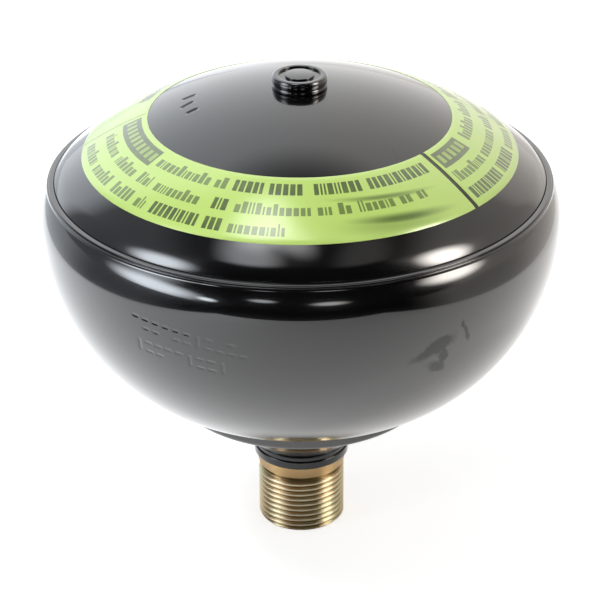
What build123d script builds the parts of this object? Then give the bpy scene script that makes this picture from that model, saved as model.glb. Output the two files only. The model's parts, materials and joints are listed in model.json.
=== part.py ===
from build123d import *
import math
import os

# Suspension sphere: a flattened steel vessel on a threaded neck, with a rubber
# diaphragm inside and a damper valve in the neck.
# Millimetres. The origin is the centre of the neck's open end, +Z up the axis.
# A radius is measured from the axis, and a height from the neck's open end.

os.makedirs("parts", exist_ok=True)

# Neck, turned from steel, from its open end upwards
thread_radius = 11.0
thread_length = 15.2
end_chamfer = 0.9
relief_depth = 1.0
relief_height = 0.8
shoulder_step = 0.7
shoulder_height = 3.3
collar_step = 0.5
collar_height = 2.2
collar_edge = 0.35
collar_groove_depth = 0.4
collar_groove_height = 0.8
flare_height = 14.7
flare_flange = 8.0
spigot_radius = 18.0
port_radius = 5.0
port_chamfer = 0.8

# Bowl, the lower shell
bowl_wall = 5.0
equator_radius = 64.0
side_offset = 13.0
side_sweep = 32.0
floor_land = 2.5
boss_drop = 1.35
boss_margin = 6.9
boss_edge = 1.6
boss_corner = 1.2

# Seam, where the dome sits in the bowl's mouth
mouth_ledge = 1.1
seam_drop = 0.85
seam_bevel = 0.4
seam_land = 0.95
seam_step = 0.5
seam_second_land = 0.5
seam_edge = 0.18

# Dome, the upper shell
dome_wall = 5.0
dome_radius = 92.1
rim_wall = 4.85
rim_height = 2.0
rim_edge = 0.4
rim_inner_edge = 0.5

# Gas plug and its washer, on the dome's spot face
plug_radius = 6.75
plug_washer_height = 1.2
plug_washer_edge = 0.45
plug_head_height = 2.05
plug_head_edge = 0.75
plug_thread_radius = 4.0
plug_groove_margin = 1.65
plug_groove_width = 1.5
plug_groove_depth = 0.5
plug_tip_reach = 1.0
plug_tip_chamfer = 0.8
spot_face_margin = 0.15

# Label, a printed foil ring with one open gap
label_margin = 6.85
label_width = 16.3
label_thickness = 0.15
label_adhesive = 0.05
label_gap_width = 1.3
label_gap_angle = 50.5

# Diaphragm, its button and the ring that clamps its bead
bead_width = 4.5
bead_height = 3.5
clamp_ring_height = 2.5
clamp_ring_edge = 0.5
membrane_thickness = 2.0
membrane_gap = 0.3
button_overlap = 3.95
button_height = 1.5
button_edge = 0.4
button_cover = 2.2
button_cover_margin = 2.5

# Damper valve, from its rivet outwards
rivet_radius = 1.75
rivet_head_overhang = 1.25
rivet_head_height = 1.5
rivet_head_edge = 0.6
hub_wall = 1.6
seat_channel = 2.2
seat_land = 0.8
seat_recess_depth = 0.5
passage_radius = 0.7
passage_margin = 0.2
passage_count = 3
damper_ledge = 0.8
damper_height = 6.0
damper_seat_depth = 14.35
damper_chamber_depth = 6.5
retaining_ring_height = 2.0
retaining_ring_edge = 0.4
shim_thickness = 0.3
shim_cover = 0.7
stop_washer_lip = 0.2
stop_washer_height = 1.1
stop_washer_edge = 0.25

# Clearances between turned and pressed parts
slip_fit = 0.05
shim_bore_clearance = 0.05

# Largest share of a wall that one fillet takes, and how closely a size is matched
# when an edge is picked by it
edge_share = 0.45
same_size = 0.01

# Neck, stacked upwards from its open end, each radius stepped from the one before
relief_radius = thread_radius - relief_depth
relief_top = thread_length + relief_height
shoulder_radius = thread_radius + shoulder_step
shoulder_top = relief_top + shoulder_height
collar_radius = shoulder_radius + collar_step
collar_top = shoulder_top + collar_height
collar_groove_radius = collar_radius - collar_groove_depth
groove_top = collar_top + collar_groove_height
boss_underside = groove_top + flare_height
flare_radius = spigot_radius + flare_flange

# Bowl: a heel arc from the flat floor, then a wider side arc up to the equator.
# The two arcs meet where both are swept the same way from straight down
sweep = math.radians(side_sweep)
boss_radius = flare_radius + boss_margin
floor_radius = spigot_radius + floor_land
floor_height = boss_underside + boss_drop + bowl_wall
side_radius = equator_radius - side_offset
heel_radius = side_radius - (floor_radius - side_offset) / math.sin(sweep)
heel_centre = (floor_radius, floor_height + heel_radius - bowl_wall)
equator_height = heel_centre[1] + (side_radius - heel_radius) * math.cos(sweep)
side_centre = (side_offset, equator_height)

# Mouth: the bead lies on a ledge at the equator, then come the clamp ring and the
# dome's rim, whose outer edge stands over the seam
mouth_radius = equator_radius - bowl_wall + mouth_ledge
rim_radius = mouth_radius - slip_fit
rim_inner_radius = rim_radius - rim_wall
bead_top = equator_height + bead_height
rim_underside = bead_top + clamp_ring_height
dome_inner_radius = dome_radius - dome_wall
rim_drop = math.sqrt(dome_inner_radius**2 - rim_inner_radius**2)
dome_centre_height = rim_underside + rim_height - rim_drop
dome_height = dome_centre_height + dome_radius


def on_arc(centre, radius, angle):
    """Point of a bowl arc, with the angle swept outwards from straight down."""
    return (centre[0] + radius * math.sin(angle), centre[1] - radius * math.cos(angle))


def arc_height(centre, radius, across):
    """Height of the lower half of an arc at a distance from the axis."""
    return centre[1] - math.sqrt(radius**2 - (across - centre[0]) ** 2)


def dome_surface(radius, across):
    """Height of a sphere about the dome's centre at a distance from the axis."""
    return dome_centre_height + math.sqrt(radius**2 - across**2)


def circles(piece, radius):
    """Circular edges of one radius, the lowest first."""
    round_edges = piece.edges().filter_by(GeomType.CIRCLE)
    return round_edges.filter_by(lambda e: abs(e.radius - radius) < same_size).sort_by(Axis.Z)


def within(edge, wall):
    """Fillet radius, kept within its wall."""
    return min(edge, edge_share * wall)


# Lower shell: a deep pressed bowl with a turned boss under it and a turned mouth.
# Outside the mouth a low shoulder curves in from the equator to two narrow lands
outer_takeover = on_arc(side_centre, side_radius, sweep)
outer_takeover_mid = on_arc(side_centre, side_radius, (sweep + math.pi / 2) / 2)
heel_end = (boss_radius, arc_height(heel_centre, heel_radius, boss_radius))
heel_end_angle = math.asin((boss_radius - heel_centre[0]) / heel_radius)
heel_mid = on_arc(heel_centre, heel_radius, (heel_end_angle + sweep) / 2)
boss_height = heel_end[1] - boss_underside
seam_height = dome_surface(dome_radius, rim_radius) - seam_drop
first_land_end = mouth_radius + seam_bevel + seam_land
second_land_end = first_land_end + seam_second_land
second_land_height = seam_height - seam_step
shoulder_start = (second_land_end, second_land_height - seam_step)
shoulder_inset = equator_radius - shoulder_start[0]
shoulder_rise = shoulder_start[1] - equator_height
shoulder_bend = (shoulder_inset**2 + shoulder_rise**2) / (2 * shoulder_inset)
shoulder_turn = math.asin(shoulder_rise / shoulder_bend)
shoulder_mid = on_arc(
    (equator_radius - shoulder_bend, equator_height),
    shoulder_bend,
    (math.pi + shoulder_turn) / 2,
)
inner_side = side_radius - bowl_wall
inner_heel = heel_radius - bowl_wall
inner_takeover = on_arc(side_centre, inner_side, sweep)
inner_takeover_mid = on_arc(side_centre, inner_side, (sweep + math.pi / 2) / 2)
inner_heel_mid = on_arc(heel_centre, inner_heel, sweep / 2)

with BuildPart() as lower_shell:
    with BuildSketch(Plane.XZ):
        with BuildLine():
            Polyline(
                (equator_radius - bowl_wall, equator_height),
                (mouth_radius, equator_height),
                (mouth_radius, seam_height - seam_bevel),
                (mouth_radius + seam_bevel, seam_height),
                (first_land_end, seam_height),
                (first_land_end, second_land_height),
                (second_land_end, second_land_height),
                shoulder_start,
            )
            ThreePointArc(shoulder_start, shoulder_mid, (equator_radius, equator_height))
            ThreePointArc((equator_radius, equator_height), outer_takeover_mid, outer_takeover)
            ThreePointArc(outer_takeover, heel_mid, heel_end)
            Polyline(
                heel_end,
                (boss_radius, boss_underside),
                (spigot_radius + slip_fit, boss_underside),
                (spigot_radius + slip_fit, floor_height),
                (floor_radius, floor_height),
            )
            ThreePointArc((floor_radius, floor_height), inner_heel_mid, inner_takeover)
            ThreePointArc(
                inner_takeover,
                inner_takeover_mid,
                (equator_radius - bowl_wall, equator_height),
            )
        make_face()
    revolve(axis=Axis.Z)
    fillet(circles(lower_shell, boss_radius)[0], radius=within(boss_edge, boss_height))
    fillet(circles(lower_shell, boss_radius)[-1], radius=within(boss_corner, boss_height))
    land_edges = circles(lower_shell, first_land_end)[-1:] + circles(lower_shell, second_land_end)[-1:]
    fillet(land_edges, radius=within(seam_edge, min(seam_step, seam_second_land)))

lower_shell.part.label = "lower_shell"
export_step(lower_shell.part, "parts/lower_shell.step")


# Upper shell: a shallow pressed dome whose turned rim seats on the clamp ring
outer_start = (0, dome_height)
outer_mid = (rim_radius / 2, dome_surface(dome_radius, rim_radius / 2))
outer_end = (rim_radius, dome_surface(dome_radius, rim_radius))
inner_start = (0, dome_height - dome_wall)
inner_mid = (rim_inner_radius / 2, dome_surface(dome_inner_radius, rim_inner_radius / 2))
inner_end = (rim_inner_radius, rim_underside + rim_height)
spot_face_radius = plug_radius + spot_face_margin
spot_face_height = dome_surface(dome_radius, spot_face_radius)

with BuildPart() as upper_shell:
    with BuildSketch(Plane.XZ):
        with BuildLine():
            ThreePointArc(outer_start, outer_mid, outer_end)
            Polyline(
                outer_end,
                (rim_radius, rim_underside),
                (rim_inner_radius, rim_underside),
                inner_end,
            )
            ThreePointArc(inner_end, inner_mid, inner_start)
            Line(inner_start, outer_start)
        make_face()
    revolve(axis=Axis.Z)
    fillet(circles(upper_shell, rim_radius)[-1], radius=rim_edge)
    fillet(circles(upper_shell, rim_inner_radius)[0], radius=within(rim_inner_edge, rim_height))
    # Spot face and threaded hole for the gas plug
    with BuildSketch(Plane.XY.offset(spot_face_height)):
        Circle(spot_face_radius)
    extrude(amount=dome_height - spot_face_height, mode=Mode.SUBTRACT)
    with BuildSketch(Plane.XY.offset(spot_face_height)):
        Circle(plug_thread_radius)
    extrude(amount=-2 * dome_wall, mode=Mode.SUBTRACT)

upper_shell.part.label = "upper_shell"
export_step(upper_shell.part, "parts/upper_shell.step")


# Gas plug: a low round head over a threaded shank that closes the gas hole
plug_seat = spot_face_height + plug_washer_height
plug_tip = spot_face_height - dome_wall - plug_tip_reach
plug_groove_outer = plug_radius - plug_groove_margin
plug_groove_inner = plug_groove_outer - plug_groove_width

with BuildPart() as gas_plug:
    with BuildSketch(Plane.XY.offset(plug_seat)):
        Circle(plug_radius)
    extrude(amount=plug_head_height)
    fillet(circles(gas_plug, plug_radius)[-1], radius=within(plug_head_edge, plug_head_height))
    with BuildSketch(Plane.XY.offset(plug_seat + plug_head_height)):
        Circle(plug_groove_outer)
        Circle(plug_groove_inner, mode=Mode.SUBTRACT)
    extrude(amount=-plug_groove_depth, mode=Mode.SUBTRACT)
    with BuildSketch(Plane.XY.offset(plug_tip)):
        Circle(plug_thread_radius - slip_fit)
    extrude(amount=plug_seat - plug_tip)
    chamfer(gas_plug.edges().group_by(Axis.Z)[0], length=plug_tip_chamfer)

gas_plug.part.label = "gas_plug"
export_step(gas_plug.part, "parts/gas_plug.step")


# Washer under the plug's head, with rounded outer edges
with BuildPart() as gas_plug_washer:
    with BuildSketch(Plane.XY.offset(spot_face_height)):
        Circle(plug_radius)
        Circle(plug_thread_radius, mode=Mode.SUBTRACT)
    extrude(amount=plug_washer_height)
    washer_edge = within(plug_washer_edge, plug_washer_height)
    fillet(circles(gas_plug_washer, plug_radius), radius=washer_edge)

gas_plug_washer.part.label = "gas_plug_washer"
export_step(gas_plug_washer.part, "parts/gas_plug_washer.step")


# Label: a foil ring held to the dome by a film of adhesive, cut through once
label_inside = dome_radius + label_adhesive
label_outside = label_inside + label_thickness
label_outer_radius = rim_radius - label_margin
label_inner_radius = label_outer_radius - label_width
label_middle = (label_inner_radius + label_outer_radius) / 2
label_in = (label_inner_radius, dome_surface(label_inside, label_inner_radius))
label_out = (label_outer_radius, dome_surface(label_inside, label_outer_radius))
label_in_top = (label_inner_radius, dome_surface(label_outside, label_inner_radius))
label_out_top = (label_outer_radius, dome_surface(label_outside, label_outer_radius))
gap_direction = math.radians(label_gap_angle - 90)
gap_plane = Plane(
    origin=(0, 0, label_out[1] - label_thickness),
    x_dir=(math.cos(gap_direction), math.sin(gap_direction), 0),
    z_dir=(0, 0, 1),
)

with BuildPart() as label:
    with BuildSketch(Plane.XZ):
        with BuildLine():
            Line(label_in, label_in_top)
            ThreePointArc(
                label_in_top,
                (label_middle, dome_surface(label_outside, label_middle)),
                label_out_top,
            )
            Line(label_out_top, label_out)
            ThreePointArc(
                label_out,
                (label_middle, dome_surface(label_inside, label_middle)),
                label_in,
            )
        make_face()
    revolve(axis=Axis.Z)
    with BuildSketch(gap_plane):
        with Locations((label_middle, 0)):
            Rectangle(2 * (label_outer_radius - label_inner_radius), label_gap_width)
    extrude(amount=dome_height - label_out[1], mode=Mode.SUBTRACT)

label.part.label = "label"
export_step(label.part, "parts/label.step")


# Neck fitting: threaded spigot, painted collar and flare, oil port and damper seat.
# The damper's radii grow outwards from its rivet, and its bore takes the last of them
rivet_bore = rivet_radius + slip_fit
hub_radius = rivet_bore + hub_wall
seat_inner_radius = hub_radius + seat_channel
seat_outer_radius = seat_inner_radius + seat_land
passage_seat_radius = (hub_radius + seat_inner_radius) / 2
passage_open_radius = seat_outer_radius + passage_margin + passage_radius
damper_chamber_radius = passage_open_radius + passage_radius + passage_margin
damper_radius = damper_chamber_radius + damper_ledge
damper_bore = damper_radius + slip_fit
damper_seat_height = floor_height - damper_seat_depth
chamber_floor = damper_seat_height - damper_chamber_depth

with BuildPart() as neck_fitting:
    with BuildSketch(Plane.XZ):
        with BuildLine():
            Polyline(
                (port_radius, 0),
                (thread_radius, 0),
                (thread_radius, thread_length),
                (relief_radius, thread_length),
                (relief_radius, relief_top),
                (thread_radius, relief_top),
                (shoulder_radius, shoulder_top),
                (collar_radius, shoulder_top),
                (collar_radius, collar_top),
                (collar_groove_radius, collar_top),
                (collar_groove_radius, groove_top),
                (flare_radius, boss_underside),
                (spigot_radius, boss_underside),
                (spigot_radius, floor_height),
                (damper_bore, floor_height),
                (damper_bore, damper_seat_height),
                (damper_chamber_radius, damper_seat_height),
                (damper_chamber_radius, chamber_floor),
                (port_radius, chamber_floor),
                close=True,
            )
        make_face()
    revolve(axis=Axis.Z)
    bottom_circles = neck_fitting.edges().group_by(Axis.Z)[0]
    chamfer(bottom_circles.sort_by(SortBy.RADIUS)[-1], length=end_chamfer)
    bottom_circles = neck_fitting.edges().group_by(Axis.Z)[0]
    chamfer(bottom_circles.sort_by(SortBy.RADIUS)[0], length=port_chamfer)
    fillet(circles(neck_fitting, collar_radius), radius=within(collar_edge, collar_height))

neck_fitting.part.label = "neck_fitting"
export_step(neck_fitting.part, "parts/neck_fitting.step")


# Diaphragm: a rubber bag that lies over the bowl, with a clamped bead at its edge
# and a thicker middle that holds the button
skin_side = inner_side - membrane_gap
skin_heel = inner_heel - membrane_gap
lining_side = skin_side - membrane_thickness
lining_heel = skin_heel - membrane_thickness
bead_inner = rim_radius - bead_width
skin_floor = floor_height + membrane_gap
lining_floor = skin_floor + membrane_thickness
button_radius = damper_bore + button_overlap
button_top = floor_height + button_height
cover_top = button_top + button_cover
cover_edge = button_radius + button_cover_margin
cover_foot = cover_edge + (cover_top - lining_floor)

with BuildPart() as diaphragm:
    with BuildSketch(Plane.XZ):
        with BuildLine():
            Polyline(
                (side_offset + skin_side, equator_height),
                (rim_radius, equator_height),
                (rim_radius, bead_top),
                (bead_inner, bead_top),
                (side_offset + lining_side, equator_height),
            )
            ThreePointArc(
                (side_offset + lining_side, equator_height),
                on_arc(side_centre, lining_side, (sweep + math.pi / 2) / 2),
                on_arc(side_centre, lining_side, sweep),
            )
            ThreePointArc(
                on_arc(side_centre, lining_side, sweep),
                on_arc(heel_centre, lining_heel, sweep / 2),
                (floor_radius, lining_floor),
            )
            Polyline(
                (floor_radius, lining_floor),
                (cover_foot, lining_floor),
                (cover_edge, cover_top),
                (0, cover_top),
                (0, button_top),
                (button_radius, button_top),
                (button_radius, skin_floor),
                (floor_radius, skin_floor),
            )
            ThreePointArc(
                (floor_radius, skin_floor),
                on_arc(heel_centre, skin_heel, sweep / 2),
                on_arc(side_centre, skin_side, sweep),
            )
            ThreePointArc(
                on_arc(side_centre, skin_side, sweep),
                on_arc(side_centre, skin_side, (sweep + math.pi / 2) / 2),
                (side_offset + skin_side, equator_height),
            )
        make_face()
    revolve(axis=Axis.Z)

diaphragm.part.label = "diaphragm"
export_step(diaphragm.part, "parts/diaphragm.step")


# Button: a plate bonded into the diaphragm, which closes the neck's mouth
with BuildPart() as diaphragm_button:
    with BuildSketch(Plane.XY.offset(floor_height)):
        Circle(button_radius)
    extrude(amount=button_height)
    chamfer(diaphragm_button.edges().group_by(Axis.Z)[0], length=button_edge)

diaphragm_button.part.label = "diaphragm_button"
export_step(diaphragm_button.part, "parts/diaphragm_button.step")


# Clamp ring: a flat steel ring between the bead and the dome's rim
with BuildPart() as clamp_ring:
    with BuildSketch(Plane.XY.offset(bead_top)):
        Circle(rim_radius)
        Circle(rim_inner_radius, mode=Mode.SUBTRACT)
    extrude(amount=clamp_ring_height)
    ring_edge = within(clamp_ring_edge, clamp_ring_height)
    fillet(circles(clamp_ring, rim_inner_radius), radius=ring_edge)

clamp_ring.part.label = "clamp_ring"
export_step(clamp_ring.part, "parts/clamp_ring.step")


# Damper body: a thick disc with a shim seat on each face. Each set of slanted
# passages opens outside one seat and comes out under the shims of the other
damper_top = damper_seat_height + damper_height


def passage_plane(turn, bottom_radius, top_radius):
    """Plane square to a slanted passage, at its lower end."""
    angle = math.radians(turn)
    across = (math.cos(angle), math.sin(angle))
    lean = top_radius - bottom_radius
    start = (across[0] * bottom_radius, across[1] * bottom_radius, damper_seat_height)
    return Plane(
        origin=start,
        x_dir=(-across[1], across[0], 0),
        z_dir=(across[0] * lean, across[1] * lean, damper_height),
    )


with BuildPart() as damper_body:
    with BuildSketch(Plane.XY.offset(damper_seat_height)):
        Circle(damper_radius)
        Circle(rivet_bore, mode=Mode.SUBTRACT)
    extrude(amount=damper_height)
    with BuildSketch(Plane.XY.offset(damper_top)):
        Circle(seat_inner_radius)
        Circle(hub_radius, mode=Mode.SUBTRACT)
    extrude(amount=-seat_recess_depth, mode=Mode.SUBTRACT)
    with BuildSketch(Plane.XY.offset(damper_seat_height)):
        Circle(seat_inner_radius)
        Circle(hub_radius, mode=Mode.SUBTRACT)
    extrude(amount=seat_recess_depth, mode=Mode.SUBTRACT)
    for index in range(2 * passage_count):
        turn = index * 180 / passage_count
        ends = (passage_open_radius, passage_seat_radius)
        if index % 2:
            ends = (passage_seat_radius, passage_open_radius)
        with BuildSketch(passage_plane(turn, *ends)):
            Circle(passage_radius)
        extrude(amount=2 * damper_height, both=True, mode=Mode.SUBTRACT)

damper_body.part.label = "damper_body"
export_step(damper_body.part, "parts/damper_body.step")


# Ring staked in over the damper body to hold it on its seat
with BuildPart() as damper_retaining_ring:
    with BuildSketch(Plane.XY.offset(damper_top)):
        Circle(damper_radius)
        Circle(damper_chamber_radius, mode=Mode.SUBTRACT)
    extrude(amount=retaining_ring_height)
    top_circles = damper_retaining_ring.edges().group_by(Axis.Z)[-1]
    chamfer(top_circles.sort_by(SortBy.RADIUS)[-1], length=retaining_ring_edge)

damper_retaining_ring.part.label = "damper_retaining_ring"
export_step(damper_retaining_ring.part, "parts/damper_retaining_ring.step")


# Shims and stop washers: spring-steel discs that shrink away from the body, then
# a thick washer, stacked upwards for compression and downwards for rebound. The
# widest shim covers the seat, and the narrowest just reaches past the hub
small_shim_radius = hub_radius + shim_cover
shim_radii = {
    "large": seat_outer_radius,
    "medium": (seat_outer_radius + small_shim_radius) / 2,
    "small": small_shim_radius,
}
stop_washer_radius = hub_radius + stop_washer_lip
stack_bore = rivet_radius + shim_bore_clearance
stack_height = len(shim_radii) * shim_thickness + stop_washer_height

for side, face, away in (("compression", damper_top, 1), ("rebound", damper_seat_height, -1)):
    height = face
    for size, radius in shim_radii.items():
        with BuildPart() as shim:
            with BuildSketch(Plane.XY.offset(height)):
                Circle(radius)
                Circle(stack_bore, mode=Mode.SUBTRACT)
            extrude(amount=away * shim_thickness)
        shim.part.label = f"{side}_shim_{size}"
        export_step(shim.part, f"parts/{side}_shim_{size}.step")
        height += away * shim_thickness
    with BuildPart() as stop_washer:
        with BuildSketch(Plane.XY.offset(height)):
            Circle(stop_washer_radius)
            Circle(stack_bore, mode=Mode.SUBTRACT)
        extrude(amount=away * stop_washer_height)
        far_circle = circles(stop_washer, stop_washer_radius)[-1 if away > 0 else 0]
        chamfer(far_circle, length=stop_washer_edge)
    stop_washer.part.label = f"{side}_stop_washer"
    export_step(stop_washer.part, f"parts/{side}_stop_washer.step")


# Rivet through the damper, with a round head over each stop washer
rivet_head_radius = rivet_radius + rivet_head_overhang
stack_top = damper_top + stack_height
stack_bottom = damper_seat_height - stack_height

with BuildPart() as damper_rivet:
    with BuildSketch(Plane.XY.offset(stack_bottom)):
        Circle(rivet_radius)
    extrude(amount=stack_top - stack_bottom)
    with BuildSketch(Plane.XY.offset(stack_top)):
        Circle(rivet_head_radius)
    extrude(amount=rivet_head_height)
    with BuildSketch(Plane.XY.offset(stack_bottom)):
        Circle(rivet_head_radius)
    extrude(amount=-rivet_head_height)
    fillet(damper_rivet.edges().group_by(Axis.Z)[-1], radius=rivet_head_edge)
    fillet(damper_rivet.edges().group_by(Axis.Z)[0], radius=rivet_head_edge)

damper_rivet.part.label = "damper_rivet"
export_step(damper_rivet.part, "parts/damper_rivet.step")
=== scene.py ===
import json
import math
import random

import bmesh
import bpy
from mathutils import Euler, Matrix, Vector


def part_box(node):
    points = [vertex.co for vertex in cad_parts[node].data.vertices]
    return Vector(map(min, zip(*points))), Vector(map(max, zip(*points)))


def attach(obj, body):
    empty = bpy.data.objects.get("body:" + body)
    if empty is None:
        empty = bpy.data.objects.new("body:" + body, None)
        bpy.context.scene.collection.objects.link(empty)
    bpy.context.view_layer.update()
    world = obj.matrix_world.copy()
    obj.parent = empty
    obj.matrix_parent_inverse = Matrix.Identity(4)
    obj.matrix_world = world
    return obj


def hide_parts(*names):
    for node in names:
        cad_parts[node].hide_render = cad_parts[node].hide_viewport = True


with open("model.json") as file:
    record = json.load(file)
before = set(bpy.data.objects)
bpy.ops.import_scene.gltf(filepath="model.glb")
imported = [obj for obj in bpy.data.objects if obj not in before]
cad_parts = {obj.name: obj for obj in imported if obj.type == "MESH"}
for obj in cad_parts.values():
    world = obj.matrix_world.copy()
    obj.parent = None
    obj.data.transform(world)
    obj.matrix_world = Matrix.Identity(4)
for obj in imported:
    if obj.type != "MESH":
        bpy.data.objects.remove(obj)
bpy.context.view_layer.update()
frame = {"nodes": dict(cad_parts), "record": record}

# Camera: a long lens in front of the sphere, looking down at it by about 27 degrees.
# It leans by a quarter of a degree, as the hand that held it did.
camera_data = bpy.data.cameras.new("camera")
camera_data.lens = 150.1
camera_data.sensor_width = 36.0
camera = bpy.data.objects.new("camera", camera_data)
look_down = Euler((math.radians(90 - 27.14), 0, math.radians(0.016))).to_matrix()
lean = Matrix.Rotation(math.radians(-0.273), 3, "Z")
camera.matrix_world = (look_down @ lean).to_4x4()
camera.location = (0, -0.560, 0.3489)
bpy.context.scene.collection.objects.link(camera)
bpy.context.scene.camera = camera
bpy.context.scene.view_settings.view_transform = "Standard"


# Shader writing: a Signal is one output of a node, and sums on it add Math nodes.
# A Finish is one material, and its add method makes any node there is.
class Signal:
    def __init__(self, finish, socket):
        self.finish = finish
        self.socket = socket

    def math(self, operation, *values):
        return self.finish.add("ShaderNodeMath", {"operation": operation}, *values)

    def __add__(self, other):
        return self.math("ADD", self, other)

    def __sub__(self, other):
        return self.math("SUBTRACT", self, other)

    def __rsub__(self, other):
        return self.math("SUBTRACT", other, self)

    def __mul__(self, other):
        return self.math("MULTIPLY", self, other)

    def __truediv__(self, other):
        return self.math("DIVIDE", self, other)

    def __pow__(self, other):
        return self.math("POWER", self, other)

    def __gt__(self, other):
        return self.math("GREATER_THAN", self, other)

    def __lt__(self, other):
        return self.math("LESS_THAN", self, other)

    def __abs__(self):
        return self.math("ABSOLUTE", self)

    __radd__ = __add__
    __rmul__ = __mul__


class Finish:
    def __init__(self, name, tree=None, shader="Principled BSDF"):
        if tree is None:
            self.material = bpy.data.materials.new(name)
            self.material.use_nodes = True
            tree = self.material.node_tree
        self.tree = tree
        self.shader = tree.nodes[shader]

    def link(self, value, socket):
        if isinstance(value, Signal):
            self.tree.links.new(value.socket, socket)
        else:
            socket.default_value = value

    def add(self, kind, settings, *values, output=0, **named):
        """Adds a node: its settings first, then its sockets by order or by name."""
        node = self.tree.nodes.new(kind)
        for name, value in settings.items():
            if name == "stops":
                for stop, (place, colour) in enumerate(value):
                    ramp = node.color_ramp.elements
                    element = ramp[stop] if stop < 2 else ramp.new(place)
                    element.position = place
                    element.color = colour
            else:
                setattr(node, name, value)
        for socket, value in zip(node.inputs, values):
            self.link(value, socket)
        for name, value in named.items():
            self.link(value, node.inputs[name.replace("_", " ")])
        return Signal(self, node.outputs[output])

    def set(self, **named):
        for name, value in named.items():
            self.link(value, self.shader.inputs[name.replace("_", " ")])

    def place(self):
        """The object's own X, Y and Z, in millimetres."""
        spot = self.add("ShaderNodeTexCoord", {}, output="Object")
        return [self.add("ShaderNodeSeparateXYZ", {}, spot, output=axis) * 1000 for axis in "XYZ"]

    def round_the_axis(self):
        """Radius and height in millimetres, and degrees from the front towards +X."""
        x, y, z = self.place()
        radius = (x * x + y * y) ** 0.5
        turn = x.math("ARCTAN2", x, y * -1) * math.degrees(1)
        return radius, turn, z

    def ease(self, value, low, high):
        """0 below low and 1 above high, with a soft change between."""
        settings = {"interpolation_type": "SMOOTHSTEP"}
        return self.add("ShaderNodeMapRange", settings, Value=value, From_Min=low, From_Max=high)

    def blend(self, factor, first, second):
        """Mixes two colours."""
        node = self.tree.nodes.new("ShaderNodeMix")
        node.data_type = "RGBA"
        self.link(factor, node.inputs[0])
        self.link(first, node.inputs[6])
        self.link(second, node.inputs[7])
        return Signal(self, node.outputs[2])

    def noise(self, scale, detail=2.0, **named):
        spot = self.add("ShaderNodeTexCoord", {}, output="Object")
        return self.add("ShaderNodeTexNoise", {}, Vector=spot, Scale=scale, Detail=detail, **named)

    def bump(self, height, strength, distance):
        return self.add("ShaderNodeBump", {}, Height=height, Strength=strength, Distance=distance)


# Floor and light: a white sheet on a table in a white room that is dark behind the
# camera, with windows low and high at both sides, four overhead and three small low ones.
bpy.ops.object.select_all(action="DESELECT")
bpy.ops.mesh.primitive_plane_add(size=8)
floor = bpy.context.object
floor.name = "floor"
table = Finish("table")
across, back, _ = table.place()
sheet_half_width = 245
sheet_front = -390
side_blur = 15
front_blur = 8
sheet = table.ease(abs(across), sheet_half_width + side_blur, sheet_half_width - side_blur)
sheet = sheet * table.ease(back, sheet_front - front_blur, sheet_front + front_blur)
# Painted light: for gloss the sheet's glow is brighter towards the left, as if lamplit.
lamplit_left = table.ease(across, 100, -240) * 0.35
reach = (across * across + back * back) ** 0.5
facing = back / reach
from_left = table.ease(across, -200, 200)
beyond = table.ease(facing, -0.75, -0.4) * (from_left * 0.26 + 0.32)
beyond = beyond + table.ease(facing, 0.0, 0.5) * (0.6 - from_left * 0.3)
seen = table.add("ShaderNodeLightPath", {}, output="Is Camera Ray")
mirrored = table.add("ShaderNodeLightPath", {}, output="Is Glossy Ray")
# Painted shadow: for gloss the sheet's glow fades round the neck.
shaded = table.ease(reach, 8, 26)
table.set(Base_Color=table.blend(sheet, (0, 0, 0, 1), (0.8, 0.8, 0.8, 1)))
cool, warm = (0.93, 0.995, 1.07, 1), (1.06, 1.0, 0.93, 1)
tint = table.blend(table.ease(across, -330, 330), cool, warm)
tint = table.blend(seen, tint, (1, 1, 1, 1))
# Painted shade: for gloss the sheet's glow is darker towards the front left.
dim_front = table.ease(back, -40, -260) * table.ease(across, -200, -20) * 0.34
lit_sheet = (0.56 + lamplit_left - dim_front) * shaded
glow = seen * (1.1 - sheet * 0.43) + mirrored * (sheet * lit_sheet + (1 - sheet) * beyond)
glow = table.add("ShaderNodeVectorMath", {"operation": "SCALE"}, tint, Scale=glow)
table.set(Roughness=0.9, Specular_IOR_Level=0.0, Emission_Color=glow, Emission_Strength=1.0)
floor.data.materials.append(table.material)

world = bpy.data.worlds.new("studio")
world.use_nodes = True
bpy.context.scene.world = world
room = Finish("studio", world.node_tree, "Background")
look = room.add("ShaderNodeTexCoord", {}, output="Generated")
to_right, to_back, upward = [
    room.add("ShaderNodeSeparateXYZ", {}, look, output=axis) for axis in "XYZ"
]
level = (to_right * to_right + to_back * to_back) ** 0.5
facing = to_back / level
below_roof = room.ease(upward, 1.0, 0.82)
back_wall = room.ease(facing, 0.50, 0.72) * (1.25 - 0.4 * to_right)
side_wall = room.ease(facing, -0.55, -0.30) * (0.5 + 0.2 * to_right)
side_wall = side_wall * room.ease(upward, 0.95, 0.75)
wall = back_wall.math("MAXIMUM", back_wall, side_wall) * below_roof


def away_from(turn, rise):
    """The way out from the sphere, in degrees from the back towards +X and upwards."""
    turn, rise = math.radians(turn), math.radians(rise)
    level_way = Vector((math.sin(turn), math.cos(turn), 0)) * math.cos(rise)
    return level_way + Vector((0, 0, math.sin(rise)))


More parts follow.
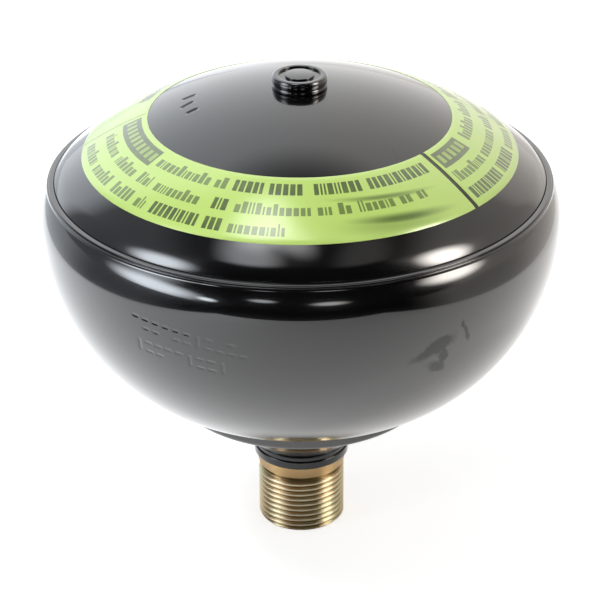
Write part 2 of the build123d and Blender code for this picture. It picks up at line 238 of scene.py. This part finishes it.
def window(turn, rise, half_width, half_height, glow, tilt=0):
    """A soft bright oval in the room, sized in degrees, that only gloss picks up. Its
    tilt lifts the end that lies further round."""
    middle = away_from(turn, rise)
    level_way = Vector((math.cos(math.radians(turn)), -math.sin(math.radians(turn)), 0))
    lean = Matrix.Rotation(math.radians(tilt), 3, middle * -1)
    aside = lean @ level_way
    above = lean @ (middle.cross(level_way) * -1)
    dot = {"operation": "DOT_PRODUCT"}
    ahead, along, up = [
        room.add("ShaderNodeVectorMath", dot, look, tuple(way), output="Value")
        for way in (middle, aside, above)
    ]
    along = along / ahead / math.tan(math.radians(half_width))
    up = up / ahead / math.tan(math.radians(half_height))
    return room.ease((along * along + up * up) ** 0.5, 1.3, 0.3) * (ahead > 0.05) * glow


windows = 0.0
for place_and_glow in (
    (-116, 5, 22, 8, 8.5),
    (-112, 19, 15, 9, 2.6),
    (112, 13, 15, 8, 12.0, 12),
    (-105.5, 38, 14, 12, 8.0, -20),
    (101, 39, 11, 15, 14.0, 20),
    (-120, 74, 11, 8, 2.4),
    (-140, 85, 9, 5, 3.0),
    (-74, 80, 10, 8, 4.6),
    (116, 71, 12, 7, 0.35),
    (-141, 4, 4.5, 2.4, 10.0),
    (-164, 11, 6, 2.4, 4.0),
    (168, 8, 8, 2.8, 4.0),
):
    windows = window(*place_and_glow) + windows
dark_room = 0.01
camera_ray = room.add("ShaderNodeLightPath", {}, output="Is Camera Ray")
glossy_ray = room.add("ShaderNodeLightPath", {}, output="Is Glossy Ray")
fill = 0.50
strength = camera_ray + glossy_ray * (wall + windows + dark_room)
strength = strength + (1 - camera_ray) * (1 - glossy_ray) * fill
room_tint = room.blend(room.ease(to_right, -0.8, 0.8), cool, warm)
room.set(Color=room.blend(camera_ray, room_tint, (1, 1, 1, 1)), Strength=strength)


lamp_aim = Vector((0, 0, 0.09))
lamp_distance = 1.3


def soft_lamp(name, turn, rise, width, height, glow):
    """A soft lamp behind a window. It lights and casts shadows, and gloss does not see
    it. Its glow is how bright its face is, where 1 is white."""
    data = bpy.data.lights.new(name, "AREA")
    data.shape = "RECTANGLE"
    data.size = width
    data.size_y = height
    data.energy = glow * math.pi * width * height
    lamp = bpy.data.objects.new(name, data)
    away = away_from(turn, rise)
    lamp.location = lamp_aim + away * lamp_distance
    lamp.rotation_euler = away.to_track_quat("Z", "Y").to_euler()
    lamp.visible_glossy = False
    bpy.context.scene.collection.objects.link(lamp)


soft_lamp("left_high_lamp", -97, 57, 0.46, 0.26, 16.5)
soft_lamp("right_high_lamp", 84, 53, 0.30, 0.24, 2.0)
soft_lamp("left_low_lamp", -119, 13, 0.42, 0.36, 5.0)
soft_lamp("right_low_lamp", 114, 14, 0.36, 0.20, 3.0)
soft_lamp("overhead_lamp", -115, 78, 0.60, 0.36, 4.0)


# Lower shell: a bowl pressed from thick steel plate, with a round boss turned under
# it and two narrow lands turned at its mouth. It has the gloss black enamel that
# the whole vessel was sprayed with.
def arc(centre, radius, start, end, steps):
    """Points of an arc, in degrees from the way straight out."""
    turns = [math.radians(start + (end - start) * step / steps) for step in range(steps + 1)]
    return [(centre[0] + radius * math.cos(a), centre[1] + radius * math.sin(a)) for a in turns]


def turned(name, outline, steps=256, closed=True, angle=math.tau, weld=True, capped=False):
    """Spins an outline of radii and heights, in millimetres, round the axis."""
    bpy.ops.object.select_all(action="DESELECT")
    bpy.ops.mesh.primitive_plane_add(size=0.001)
    piece = bpy.context.object
    piece.name = name
    piece.data.name = name
    bpy.ops.object.mode_set(mode="EDIT")
    bpy.ops.mesh.merge(type="CENTER")
    here = Vector((0, 0, 0))
    for index, (radius, height) in enumerate(outline + outline[:1] * closed):
        there = Vector((0, radius, height)) / 1000
        if index:
            bpy.ops.mesh.extrude_region_move(TRANSFORM_OT_translate={"value": there - here})
        else:
            bpy.ops.transform.translate(value=there)
        here = there
    bpy.ops.mesh.select_all(action="SELECT")
    bpy.ops.mesh.remove_doubles(threshold=1e-7)
    if capped:
        bpy.ops.mesh.edge_face_add()
    bpy.ops.mesh.spin(
        steps=steps, angle=angle, center=(0, 0, 0), axis=(0, 0, 1), use_auto_merge=weld
    )
    bpy.ops.mesh.select_all(action="SELECT")
    if weld:
        bpy.ops.mesh.remove_doubles(threshold=1e-7)
    bpy.ops.mesh.normals_make_consistent(inside=False)
    bpy.ops.object.mode_set(mode="OBJECT")
    return piece


def smoothed(piece, angle=32):
    bpy.ops.object.select_all(action="DESELECT")
    piece.select_set(True)
    bpy.context.view_layer.objects.active = piece
    bpy.ops.object.shade_smooth_by_angle(angle=math.radians(angle))


def finished(piece, material, node):
    """Gives a piece its material and puts it in the place of its node."""
    piece.data.materials.append(material)
    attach(piece, "root")
    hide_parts(node)


def enamel(name, marks=None):
    """Gloss black enamel over steel: a clear surface with a faint orange peel."""
    paint = Finish(name)
    colour = (0.0022, 0.0022, 0.0024, 1)
    dull = paint.noise(60, 3) * 0.08 + 0.16
    peel = paint.noise(420, 1) + paint.noise(70, 0) * 1.5
    coat = 1.0
    if marks:
        colour, dull, peel, coat = marks(paint, colour, dull, peel, coat)
    paint.set(Base_Color=colour, Roughness=dull, Coat_Weight=coat, Specular_IOR_Level=0.25)
    paint.set(Coat_Roughness=0.035, Coat_IOR=1.66, Normal=paint.bump(peel, 0.3, 0.00001))
    return paint.material


bowl_low, bowl_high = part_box("lower_shell")
equator = bowl_high.x * 1000
boss_underside = bowl_low.z * 1000
seam = bowl_high.z * 1000
wall_thickness = 5.0
boss_thickness = 6.35
floor_height = boss_underside + boss_thickness
side_centre_radius = 13.0
side_sweep = 32.0
floor_radius = 20.5
spigot_hole = 18.05
side = equator - side_centre_radius
heel = side - (floor_radius - side_centre_radius) / math.sin(math.radians(side_sweep))
heel_centre = (floor_radius, floor_height + heel - wall_thickness)
equator_height = heel_centre[1] + (side - heel) * math.cos(math.radians(side_sweep))
side_centre = (side_centre_radius, equator_height)
boss = 32.9
boss_edge = 1.6
boss_corner = 1.2
corner_radius = boss + boss_corner
corner_drop = math.sqrt((heel + boss_corner) ** 2 - (corner_radius - floor_radius) ** 2)
corner_turn = math.degrees(math.atan2(corner_drop, floor_radius - corner_radius))
mouth = 60.1
lands = (seam, seam - 0.5, seam - 1.0)
land_ends = (mouth + 1.35, mouth + 1.85)
land_edge = 0.15
inset = equator - land_ends[1]
rise = lands[2] - equator_height
bend = (inset**2 + rise**2) / (2 * inset)
bend_turn = math.degrees(math.asin(rise / bend))
bowl_outline = [(spigot_hole, boss_underside)]
bowl_outline += arc((boss - boss_edge, boss_underside + boss_edge), boss_edge, -90, 0, 8)
bowl_outline += arc((corner_radius, heel_centre[1] - corner_drop), boss_corner, 180, corner_turn, 8)
bowl_outline += arc(heel_centre, heel, corner_turn - 180, side_sweep - 90, 24)[1:]
bowl_outline += arc(side_centre, side, side_sweep - 90, 0, 40)[1:]
bowl_outline += arc((equator - bend, equator_height), bend, 0, bend_turn, 20)[1:]
bowl_outline += arc((land_ends[1] - land_edge, lands[1] - land_edge), land_edge, 0, 90, 4)
bowl_outline += [(land_ends[0], lands[1])]
bowl_outline += arc((land_ends[0] - land_edge, lands[0] - land_edge), land_edge, 0, 90, 4)
mouth_bevel = 0.2
bowl_outline += [(mouth + mouth_bevel, lands[0]), (mouth, lands[0] - mouth_bevel)]
bowl_outline += [(mouth, equator_height)]
bowl_outline += arc(side_centre, side - wall_thickness, 0, side_sweep - 90, 16)
bowl_outline += arc(heel_centre, heel - wall_thickness, side_sweep - 90, -90, 12)[1:]
bowl_outline += [(spigot_hole, floor_height)]


def bowl_marks(paint, colour, dull, peel, coat):
    """A few rubbed patches on the right."""
    radius, turn, height = paint.round_the_axis()
    rubbed = 0.0
    wander = (paint.noise(260, 3) - 0.5) * 5.0
    drift = (paint.noise(180, 3, Distortion=0.8) - 0.5) * 5.0
    for spot_turn, spot_height, half_turn, half_height, lean in (
        (28.8, 77.6, 5.4, 2.1, 0.42),
        (31.4, 78.2, 2.8, 2.4, 0.42),
        (30.6, 71.6, 2.8, 1.7, -0.2),
        (31.8, 74.4, 1.1, 3.0, 0.0),
        (36.6, 80.4, 1.3, 1.5, -2.2),
    ):
        aside = (turn + wander - spot_turn) / half_turn
        above = (height + drift - spot_height - (turn - spot_turn) * lean) / half_height
        patch = paint.ease((aside * aside + above * above) ** 0.5, 1.25, 0.55)
        rubbed = patch.math("MAXIMUM", patch, rubbed)
    coat = coat - rubbed * 0.5
    dull = dull + rubbed * 0.10
    return colour, dull, peel, coat


def struck(piece, centre, sweep, corners, strokes, half_width, depth):
    """Strikes plain strokes into a turned face: refines the mesh between two corners
    (turn, radius, height), lays it on the face's own arc and sinks it by each stroke."""
    margin = 2

    def at(turn, radius, height):
        turn = math.radians(turn)
        return Vector((radius * math.sin(turn), -radius * math.cos(turn), height))

    def within(spot, spare):
        here = (math.degrees(math.atan2(spot.x, -spot.y)), spot.xy.length, spot.z)
        outside = math.hypot(here[1] - centre[0], here[2] - centre[1]) > sweep - 1
        limits = zip(corners[0], here, corners[1])
        return outside and all(low - spare < value < high + spare for low, value, high in limits)

    mesh = bmesh.new()
    mesh.from_mesh(piece.data)
    patch = [face for face in mesh.faces if within(face.calc_center_median() * 1000, 0)]
    edges = list({edge for face in patch for edge in face.edges})
    bmesh.ops.subdivide_edges(mesh, edges=edges, cuts=5, use_grid_fill=True)
    lines = [(at(*start), at(*end)) for start, end in strokes]
    for vertex in mesh.verts:
        spot = vertex.co * 1000
        if not within(spot, margin):
            continue
        turn = math.degrees(math.atan2(spot.x, -spot.y))
        way = Vector((spot.xy.length - centre[0], spot.z - centre[1])).normalized()
        lowest = 0.0
        for start, end in lines:
            along = min(max((spot - start).dot(end - start) / (end - start).length_squared, 0), 1)
            near = (spot - start.lerp(end, along)).length / half_width
            if near < 1:
                lowest = max(lowest, (1 - near * near) ** 2)
        out = sweep - depth * lowest
        vertex.co = at(turn, centre[0] + way.x * out, centre[1] + way.y * out) / 1000
    mesh.to_mesh(piece.data)
    mesh.free()


def side_place(turn, height):
    """A place on the bowl's side arc: turn, radius and height."""
    return turn, side_centre[0] + math.sqrt(side**2 - (height - side_centre[1]) ** 2), height


bowl = turned("bowl", bowl_outline)
row_strokes = []
hammer = random.Random(3)
cell_width = 2.45
half_cell = 1.25
half_stroke = 0.6
stroke_rows = ((-36.4, 83.3, -0.121, 11), (-36.2, 76.8, -0.091, 9))
for first_turn, first_height, slope, count in stroke_rows:
    for cell in range(count):
        turn = first_turn + cell * cell_width
        before, after = turn - half_stroke, turn + half_stroke
        height = first_height + (turn - first_turn) * slope
        low, high = height - half_cell, height + half_cell
        shape = hammer.choice(("foot", "head", "both", "post", "both"))
        if shape in ("foot", "both"):
            row_strokes.append((side_place(before, low), side_place(after, low - 0.1)))
        if shape in ("head", "both"):
            row_strokes.append((side_place(before, high), side_place(after, high - 0.1)))
        if shape == "post":
            row_strokes.append((side_place(turn, low), side_place(turn + 0.1, high)))
stroke_corners = ((-38.5, 50, 72.5), (-7.5, 70, 86.0))
struck(bowl, side_centre, side, stroke_corners, row_strokes, half_width=0.55, depth=0.13)
smoothed(bowl)
finished(bowl, enamel("bowl_enamel", bowl_marks), "lower_shell")


# Upper shell: a shallow dome pressed from the same plate, with its rim turned to sit
# in the bowl's mouth. Three short strokes are struck into it beside the label.
dome_low, dome_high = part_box("upper_shell")
dome_radius = 92.1
inner_dome = dome_radius - wall_thickness
rim = dome_high.x * 1000
rim_width = 4.85
rim_inner = rim - rim_width
rim_underside = dome_low.z * 1000
rim_step = 2.0
plate_centre = rim_underside + rim_step - math.sqrt(inner_dome**2 - rim_inner**2)
centre = (0, plate_centre)
spot_face = 6.9
gas_hole = 4.0
rim_round = 14.0
round_start = 57.3
round_turn = math.acos(round_start / dome_radius)
round_middle = (
    round_start - rim_round * math.cos(round_turn),
    plate_centre + (dome_radius - rim_round) * math.sin(round_turn),
)
rim_edge = 0.15
edge_turn = math.acos((rim - rim_edge - round_middle[0]) / (rim_round - rim_edge))
edge_height = round_middle[1] + (rim_round - rim_edge) * math.sin(edge_turn)
round_turn, edge_turn = math.degrees(round_turn), math.degrees(edge_turn)
spot_turn = math.degrees(math.acos(spot_face / dome_radius))
dome_outline = [(gas_hole, plate_centre + dome_radius * math.sin(math.radians(spot_turn)))]
dome_outline += arc(centre, dome_radius, spot_turn, round_turn, 56)
dome_outline += arc(round_middle, rim_round, round_turn, edge_turn, 12)[1:]
dome_outline += arc((rim - rim_edge, edge_height), rim_edge, edge_turn, 0, 5)[1:]
dome_outline += [(rim, rim_underside), (rim_inner, rim_underside)]
inner_edge_turn = math.degrees(math.acos(rim_inner / inner_dome))
inner_hole_turn = math.degrees(math.acos(gas_hole / inner_dome))
dome_outline += arc(centre, inner_dome, inner_edge_turn, inner_hole_turn, 20)


def dome_marks(paint, colour, dull, peel, coat):
    """One faint scratch beside the label."""
    radius, turn, _ = paint.round_the_axis()
    aside = turn - 41.0 + (radius - 33) * 0.15 + (paint.noise(300, 2) - 0.5) * 3
    scratch = paint.ease(abs(aside), 0.5, 0.1) * paint.ease(abs(radius - 34), 2.6, 1.0)
    dull = dull + scratch * 0.4
    return colour, dull, peel, coat


def dome_place(turn, radius):
    return turn, radius, plate_centre + math.sqrt(dome_radius**2 - radius**2)


dome = turned("dome", dome_outline)
dome_strokes = (
    (dome_place(-95.0, 28.0), dome_place(-97.0, 26.0)),
    (dome_place(-85.0, 28.2), dome_place(-87.5, 26.2)),
    (dome_place(-76.2, 27.4), dome_place(-77.0, 25.6)),
)
stroke_corners = ((-101, 24.0, 100), (-72, 30.0, 125))
struck(dome, centre, dome_radius, stroke_corners, dome_strokes, half_width=0.95, depth=0.30)
smoothed(dome)
finished(dome, enamel("dome_enamel", dome_marks), "upper_shell")


# Gas plug and washer: a low turned plug that closes the gas hole, over a washer with
# rounded edges. Both were sprayed with the vessel.
washer_low, washer_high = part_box("gas_plug_washer")
plug_low, plug_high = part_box("gas_plug")
plug = plug_high.x * 1000
washer_bottom, washer_top = washer_low.z * 1000, washer_high.z * 1000
washer_edge = 0.45
washer_outline = [(gas_hole, washer_bottom)]
washer_outline += arc((plug - washer_edge, washer_bottom + washer_edge), washer_edge, -90, 0, 6)
washer_outline += arc((plug - washer_edge, washer_top - washer_edge), washer_edge, 0, 90, 6)
washer_outline += [(gas_hole, washer_top)]
washer = turned("plug_washer", washer_outline, 128)
smoothed(washer)
finished(washer, enamel("washer_enamel"), "gas_plug_washer")

plug_top = plug_high.z * 1000
plug_tip = plug_low.z * 1000
shank = 3.95
shank_bevel = 0.8
plug_edge = 0.75
plug_foot = 0.3
groove = (3.6, 5.1)
groove_depth = 0.5
groove_edge = 0.15
plug_outline = [(0, plug_tip), (shank - shank_bevel, plug_tip), (shank, plug_tip + shank_bevel)]
plug_outline += [(shank, washer_top)]
plug_outline += arc((plug - plug_foot, washer_top + plug_foot), plug_foot, -90, 0, 4)
plug_outline += arc((plug - plug_edge, plug_top - plug_edge), plug_edge, 0, 90, 8)
plug_outline += arc((groove[1] + groove_edge, plug_top - groove_edge), groove_edge, 90, 180, 3)
plug_outline += [(groove[1], plug_top - groove_depth), (groove[0], plug_top - groove_depth)]
plug_outline += arc((groove[0] - groove_edge, plug_top - groove_edge), groove_edge, 0, 90, 3)
plug_outline += [(0, plug_top)]
gas_plug = turned("plug", plug_outline, 128, closed=False)
smoothed(gas_plug)
finished(gas_plug, enamel("plug_enamel"), "gas_plug")


# Label: a ring of yellow-green plastic foil stuck on the dome, cut through once. It
# has a satin face that has rippled a little, and its edges lie down on the paint.
foil_under = dome_radius + 0.01
foil_face = foil_under + 0.17
foil_edge = foil_under + 0.04
foil_bend = 0.5
foil_inner, foil_outer = 36.9, 53.2
gap_turn = 50.5
gap_width = 1.3
open_spin = math.radians(350)


def spun_share(place):
    """How far round an open spin a point is: the spin starts at 1 and ends at 0."""
    slack = 1e-3
    return 1 - ((math.atan2(place.x, place.y) + slack) % math.tau - slack) / open_spin


def on_sphere(radius_of_sphere, across):
    return (across, plate_centre + math.sqrt(radius_of_sphere**2 - across**2))


foil_rows = 24
flat_inner, flat_outer = foil_inner + foil_bend, foil_outer - foil_bend
row_width = (flat_outer - flat_inner) / foil_rows
foil_middle = (foil_outer + foil_inner) / 2
foil_outline = [on_sphere(foil_under, across) for across in (foil_outer, foil_middle, foil_inner)]
foil_outline += [on_sphere(foil_edge, foil_inner)]
foil_outline += [on_sphere(foil_face, flat_inner + row_width * row) for row in range(foil_rows + 1)]
foil_outline += [on_sphere(foil_edge, foil_outer)]
foil = turned("label_ring", foil_outline, 320, angle=open_spin, weld=False, capped=True)
for vertex in foil.data.vertices:
    across = vertex.co.xy.length
    half_gap = math.asin(gap_width / 2000 / across)
    spun = half_gap + (math.tau - 2 * half_gap) * spun_share(vertex.co)
    heading = math.radians(gap_turn) + spun
    vertex.co.x = across * math.sin(heading)
    vertex.co.y = -across * math.cos(heading)
foil_finish = Finish("label_foil")
radius, turn, _ = foil_finish.round_the_axis()
mottle = foil_finish.noise(35, 3)
foil_colour = foil_finish.blend(mottle, (0.57, 0.78, 0.18, 1), (0.53, 0.75, 0.18, 1))
# Painted reflection: three dark curved streaks in the foil's colour stand for dark parts of the
# room seen in its gloss.
painted_dark_reflection = 0.0
for reflection_turn, reflection_radius, half_turn, half_width, depth in (
    (25.5, 44.3, 19.0, 0.9, 0.75),
    (28.0, 49.9, 18.0, 1.6, 0.92),
    (26.0, 51.0, 19.0, 2.9, 0.40),
):
    aside = (turn - reflection_turn) / half_turn
    above = (radius - reflection_radius - aside * 1.05) / half_width
    dark_reflection_streak = foil_finish.ease((aside * aside + above * above) ** 0.5, 1.1, 0.1) * depth
    painted_dark_reflection = dark_reflection_streak.math("MAXIMUM", dark_reflection_streak, painted_dark_reflection)
foil_colour = foil_finish.blend(painted_dark_reflection, foil_colour, (0.07, 0.13, 0.02, 1))
ripple = foil_finish.noise(22, 2) * 6 + foil_finish.noise(160, 1) * 0.3
foil_finish.set(Base_Color=foil_colour, Roughness=foil_finish.noise(90, 2) * 0.1 + 0.33)
foil_finish.set(Coat_Weight=1.0, Coat_Roughness=0.14, Coat_IOR=1.7)
foil_finish.set(Normal=foil_finish.bump(ripple, 0.35, 0.0001))
smoothed(foil)
finished(foil, foil_finish.material, "label")


# Label print: rows of plain upright blocks, dark heads with a few pale blocks, and lines
# between the fields, in ink on the foil. It is laid out flat and then wrapped round.
ink_colours = {
    "light_ink": (0.17, 0.25, 0.06),
    "dark_ink": (0.075, 0.115, 0.03),
    "field_ink": (0.10, 0.14, 0.05),
    "pale_ink": (0.36, 0.50, 0.12),
}
inks = list(ink_colours)
ink_thickness = 0.012
ink_face = {ink: foil_face + ink_thickness for ink in inks}
ink_face["pale_ink"] += ink_thickness
printed = bmesh.new()
dice = random.Random(7)


def block(start, end, inner, outer, ink="light_ink", cut=1.2):
    """One printed shape, from turn to turn and radius to radius, cut to lie on the foil."""
    steps = max(1, math.ceil((end - start) / cut))
    rows = max(1, math.ceil((outer - inner) / cut))
    flat = Matrix.Translation(((start + end) / 2, (inner + outer) / 2, ink_face[ink]))
    flat = flat @ Matrix.Diagonal(((end - start), (outer - inner), 1, 1))
    made = bmesh.ops.create_grid(printed, x_segments=steps, y_segments=rows, size=0.5, matrix=flat)
    for face in {face for vertex in made["verts"] for face in vertex.link_faces}:
        face.material_index = inks.index(ink)


def block_run(start, end, baseline, height, ink):
    """Plain blocks side by side, some of them tall or narrow."""
    degree = math.radians(1) * baseline
    here = start
    space = 0.42 / degree
    narrowest = 0.6 / degree
    while here < end - narrowest:
        wide = min(dice.choice((1.25, 1.1, 1.35, 0.45)) / degree, end - here)
        tall = 1.0 if ink == "dark_ink" else dice.choice((0.70, 0.70, 0.70, 1.0))
        block(here, here + wide, baseline - height * tall, baseline, ink)
        here += wide + space


line_rows = ((41.9, 3.0), (47.0, 2.8), (51.7, 2.8))
fields = (
    (-92.4, 36.0, (
        ((-54, -30, 0), (-28.5, -23.5, 0), (-22, -12, 1), (-10, 2, 1), (4.5, 21, 1), (22.7, 47, 1)),
        ((-88, -72, 0), (-70, -57, 0), (-55, -49, 0), (-47, -30, 0), (-26, -21, 1), (-19, 3, 0),
         (5, 9, 0), (11, 15, 0), (17, 28, 0), (30, 34, 0), (36, 39, 0)),
        ((-89, -76, 0), (-74, -62, 0), (-60, -51, 0), (-49, -45, 0), (-43, -28, 1), (-26, -21, 1),
         (-19, -4, 0)),
    )),
    (gap_turn, 20.0, (
        ((75, 92, 0), (94, 108, 0), (110, 122, 0), (124, 138, 0)),
        ((53, 70, 0), (72, 90, 0), (92, 101, 0), (103, 124, 0), (126, 146, 0)),
        ((53, 69, 1), (71, 84, 1), (86, 99, 0), (101, 116, 0)),
    )),
    (159.0, 0.0, (
        ((221, 232, 0), (234, 252, 1)),
        ((162, 178, 0), (180, 187, 0), (189, 206, 0), (208, 226, 0), (228, 244, 0)),
        ((162, 176, 0), (178, 190, 0), (192, 211, 0)),
    )),
)
head_inner, head_outer = 38.3, 42.9
pale_inner, pale_outer = 39.4, 41.8
pale_width, pale_step = 1.9, 3.3
line_width = 0.2
for field_start, head, rows in fields:
    if head:
        block(field_start + 2.2, field_start + head, head_inner, head_outer, "field_ink")
    tick = field_start + 3.6
    while tick < field_start + head - 2.4:
        block(tick, tick + pale_width, pale_inner, pale_outer, "pale_ink")
        tick += pale_step
    for (baseline, height), runs in zip(line_rows, rows):
        for start, end, bold in runs:
            block_run(start, end, baseline, height, ("light_ink", "dark_ink")[bold])
    if field_start != gap_turn:
        for line in (field_start - 0.35, field_start + 0.15):
            block(line, line + line_width, flat_inner, flat_outer)
for vertex in printed.verts:
    heading = math.radians(vertex.co.x)
    across, height = on_sphere(vertex.co.z, vertex.co.y)
    vertex.co = Vector((across * math.sin(heading), -across * math.cos(heading), height)) / 1000
print_mesh = bpy.data.meshes.new("label_print")
printed.to_mesh(print_mesh)
printed.free()
label_print = bpy.data.objects.new("label_print", print_mesh)
bpy.context.scene.collection.objects.link(label_print)
foil_green = (0.54, 0.78, 0.12)
for ink, colour in ink_colours.items():
    ink_finish = Finish(ink)
    worn = ink_finish.ease(ink_finish.noise(240, 3), 0.30, 0.62)
    faded = tuple(0.7 * shade + 0.12 * green for shade, green in zip(colour, foil_green)) + (1,)
    ink_finish.set(Base_Color=ink_finish.blend(worn, faded, colour + (1,)))
    ink_finish.set(Roughness=0.4, Coat_Weight=1.0, Coat_Roughness=0.14, Coat_IOR=1.7)
    print_mesh.materials.append(ink_finish.material)
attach(label_print, "root")


# Neck: turned from steel bar and welded to the bowl, with an M22 x 1.5 thread and a
# plated shoulder. The collar and the flare above it were sprayed with the vessel.
neck_low, neck_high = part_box("neck_fitting")
foot = neck_low.z * 1000
columns = 192
crest, root = 11.0, 10.1
pitch = 1.5
rows_per_pitch = 12
thread_length = 15.2
relief = 10.0
relief_top = 16.0
shoulder = (11.7, 19.3)
collar = (12.2, 21.5)
collar_edge = 0.35
collar_groove = (11.8, 22.3)
flare = neck_high.x * 1000
spigot = 18.0
port = 5.0
port_bevel = 0.8
damper_bore = 9.05
damper_seat = 29.0
passage = 8.2
passage_floor = 22.5
crest_height = 13.98
crest_share = 0.17
flank_share = 0.24
root_share = 0.09
flank_depth = 0.80
root_depth = 0.10
run_out = 1.6


def thread_radius(height, turn):
    """Radius of the thread at a height and a turn from the front, run out at both ends."""
    place = (height - crest_height - pitch * turn / 360) / pitch % 1
    from_crest = min(place, 1 - place)
    flank = min(max((from_crest - crest_share) / flank_share, 0), 1)
    hollow = max(from_crest - crest_share - flank_share, 0) / root_share
    radius = crest - flank_depth * flank - root_depth * hollow
    return min(radius, root + height - foot, relief + (thread_length - height) * run_out)


rows = int((thread_length + 2 * pitch) / pitch * rows_per_pitch)
ribbon_outline = [(crest, -pitch + row * pitch / rows_per_pitch) for row in range(rows + 1)]
neck = turned("neck", ribbon_outline, columns, closed=False, angle=open_spin, weld=False)
for vertex in neck.data.vertices:
    spun = spun_share(vertex.co) * math.tau
    turn = 180 + math.degrees(spun)
    height = vertex.co.z * 1000 + pitch * spun / math.tau
    height = min(max(height, foot), thread_length)
    radius = thread_radius(height, turn)
    turn = math.radians(turn)
    vertex.co = Vector((radius * math.sin(turn), -radius * math.cos(turn), height)) / 1000

body_outline = [(relief, thread_length), (relief, relief_top - 0.15), (relief + 0.15, relief_top)]
body_outline += [(crest - 0.25, relief_top), (crest, relief_top + 0.25), (shoulder[0], shoulder[1])]
body_outline += arc((collar[0] - collar_edge, shoulder[1] + collar_edge), collar_edge, -90, 0, 5)
body_outline += arc((collar[0] - collar_edge, collar[1] - collar_edge), collar_edge, 0, 90, 5)
body_outline += [collar_groove[:1] + collar[1:], collar_groove, (flare, boss_underside)]
body_outline += [(spigot, boss_underside), (spigot, floor_height), (damper_bore, floor_height)]
body_outline += [(damper_bore, damper_seat), (passage, damper_seat), (passage, passage_floor)]
body_outline += [(port, passage_floor), (port, foot + port_bevel), (port + port_bevel, foot)]
body_outline += [(root, foot)]
neck_body = turned("neck_body", body_outline, columns, closed=False)
smoothed(neck, 70)
smoothed(neck_body, 38)
bpy.ops.object.select_all(action="DESELECT")
neck_body.select_set(True)
neck.select_set(True)
bpy.context.view_layer.objects.active = neck
bpy.ops.object.join()
bpy.ops.object.mode_set(mode="EDIT")
bpy.ops.mesh.select_all(action="SELECT")
bpy.ops.mesh.remove_doubles(threshold=2e-6)
bpy.ops.mesh.normals_make_consistent(inside=False)
bpy.ops.object.mode_set(mode="OBJECT")

plating = Finish("neck_plating")
radius, _, height = plating.round_the_axis()
patches = plating.ease(plating.noise(90, 3), 0.35, 0.65)
tint = plating.blend(patches, (0.62, 0.44, 0.25, 1), (0.50, 0.45, 0.27, 1))
worn_crest = plating.ease(radius, 10.7, 11.0) * (height < thread_length)
tint = plating.blend(worn_crest * 0.7, tint, (0.60, 0.54, 0.38, 1))
tint = plating.blend(plating.ease(height, thread_length, relief_top), tint, (0.49, 0.33, 0.16, 1))
# Painted shade: the thread's roots are darkened to a deep brown.
tint = plating.blend(plating.ease(radius, 10.6, 10.15) * 0.85, tint, (0.10, 0.065, 0.015, 1))
rings = plating.add("ShaderNodeTexNoise", {"noise_dimensions": "1D"}, W=height * 9)
turning = plating.noise(40, 1) * 0.4 + rings
plating.set(Base_Color=tint, Metallic=1.0, Roughness=plating.noise(150, 2) * 0.12 + 0.36)
plating.set(Anisotropic=0.9, Anisotropic_Rotation=0.25)
plating.set(Normal=plating.bump(turning, 0.4, 0.00001))
paint_edge = height + (plating.noise(220, 2) - 0.5) * 0.35
sprayed = plating.ease(paint_edge, shoulder[1] - 0.05, shoulder[1] + 0.05)
enamel_shader = plating.add(
    "ShaderNodeBsdfPrincipled",
    {},
    Base_Color=(0.0022, 0.0022, 0.0024, 1),
    Roughness=0.2,
    Specular_IOR_Level=0.2,
    Coat_Weight=1.0,
    Coat_Roughness=0.06,
    Coat_IOR=1.4,
)
bare_shader = Signal(plating, plating.shader.outputs[0])
both = plating.add("ShaderNodeMixShader", {}, sprayed, bare_shader, enamel_shader)
plating.link(both, plating.tree.nodes["Material Output"].inputs["Surface"])
finished(neck, plating.material, "neck_fitting")


# Inside: a rubber diaphragm with its plastic button and steel clamp ring, and a damper
# of sintered steel with spring shims in the neck. They are the frame's own solids, and
# only their finish is given here.
def steel(name, colour, low_roughness, high_roughness, grain):
    metal = Finish(name)
    patch = metal.noise(grain, 3)
    metal.set(Base_Color=metal.blend(patch, colour, tuple(0.8 * c for c in colour[:3]) + (1,)))
    metal.set(Metallic=1.0, Roughness=patch * (high_roughness - low_roughness) + low_roughness)
    metal.set(Normal=metal.bump(metal.noise(grain * 8, 2), 0.3, 0.00001))
    return metal.material


def matt(name, colour, roughness, grain, strength):
    stuff = Finish(name)
    patch = stuff.noise(grain, 3)
    stuff.set(Base_Color=stuff.blend(patch, colour, tuple(0.85 * c for c in colour[:3]) + (1,)))
    stuff.set(Roughness=patch * 0.15 + roughness)
    stuff.set(Normal=stuff.bump(stuff.noise(grain * 6, 3), strength, 0.00003))
    return stuff.material


slot_finish = {
    "bare_steel": steel("bare_steel", (0.45, 0.45, 0.46, 1), 0.25, 0.4, 300),
    "spring_steel": steel("spring_steel", (0.33, 0.34, 0.37, 1), 0.15, 0.28, 200),
    "sintered_steel": steel("sintered_steel", (0.20, 0.20, 0.20, 1), 0.5, 0.7, 900),
    "diaphragm_rubber": matt("diaphragm_rubber", (0.03, 0.03, 0.03, 1), 0.6, 200, 0.4),
    "button_plastic": matt("button_plastic", (0.62, 0.58, 0.48, 1), 0.4, 250, 0.2),
}
for subpart in frame["record"]["subparts"]:
    if subpart["material_slot"] in slot_finish:
        node = frame["nodes"][subpart["node"]]
        node.data.materials.clear()
        node.data.materials.append(slot_finish[subpart["material_slot"]])
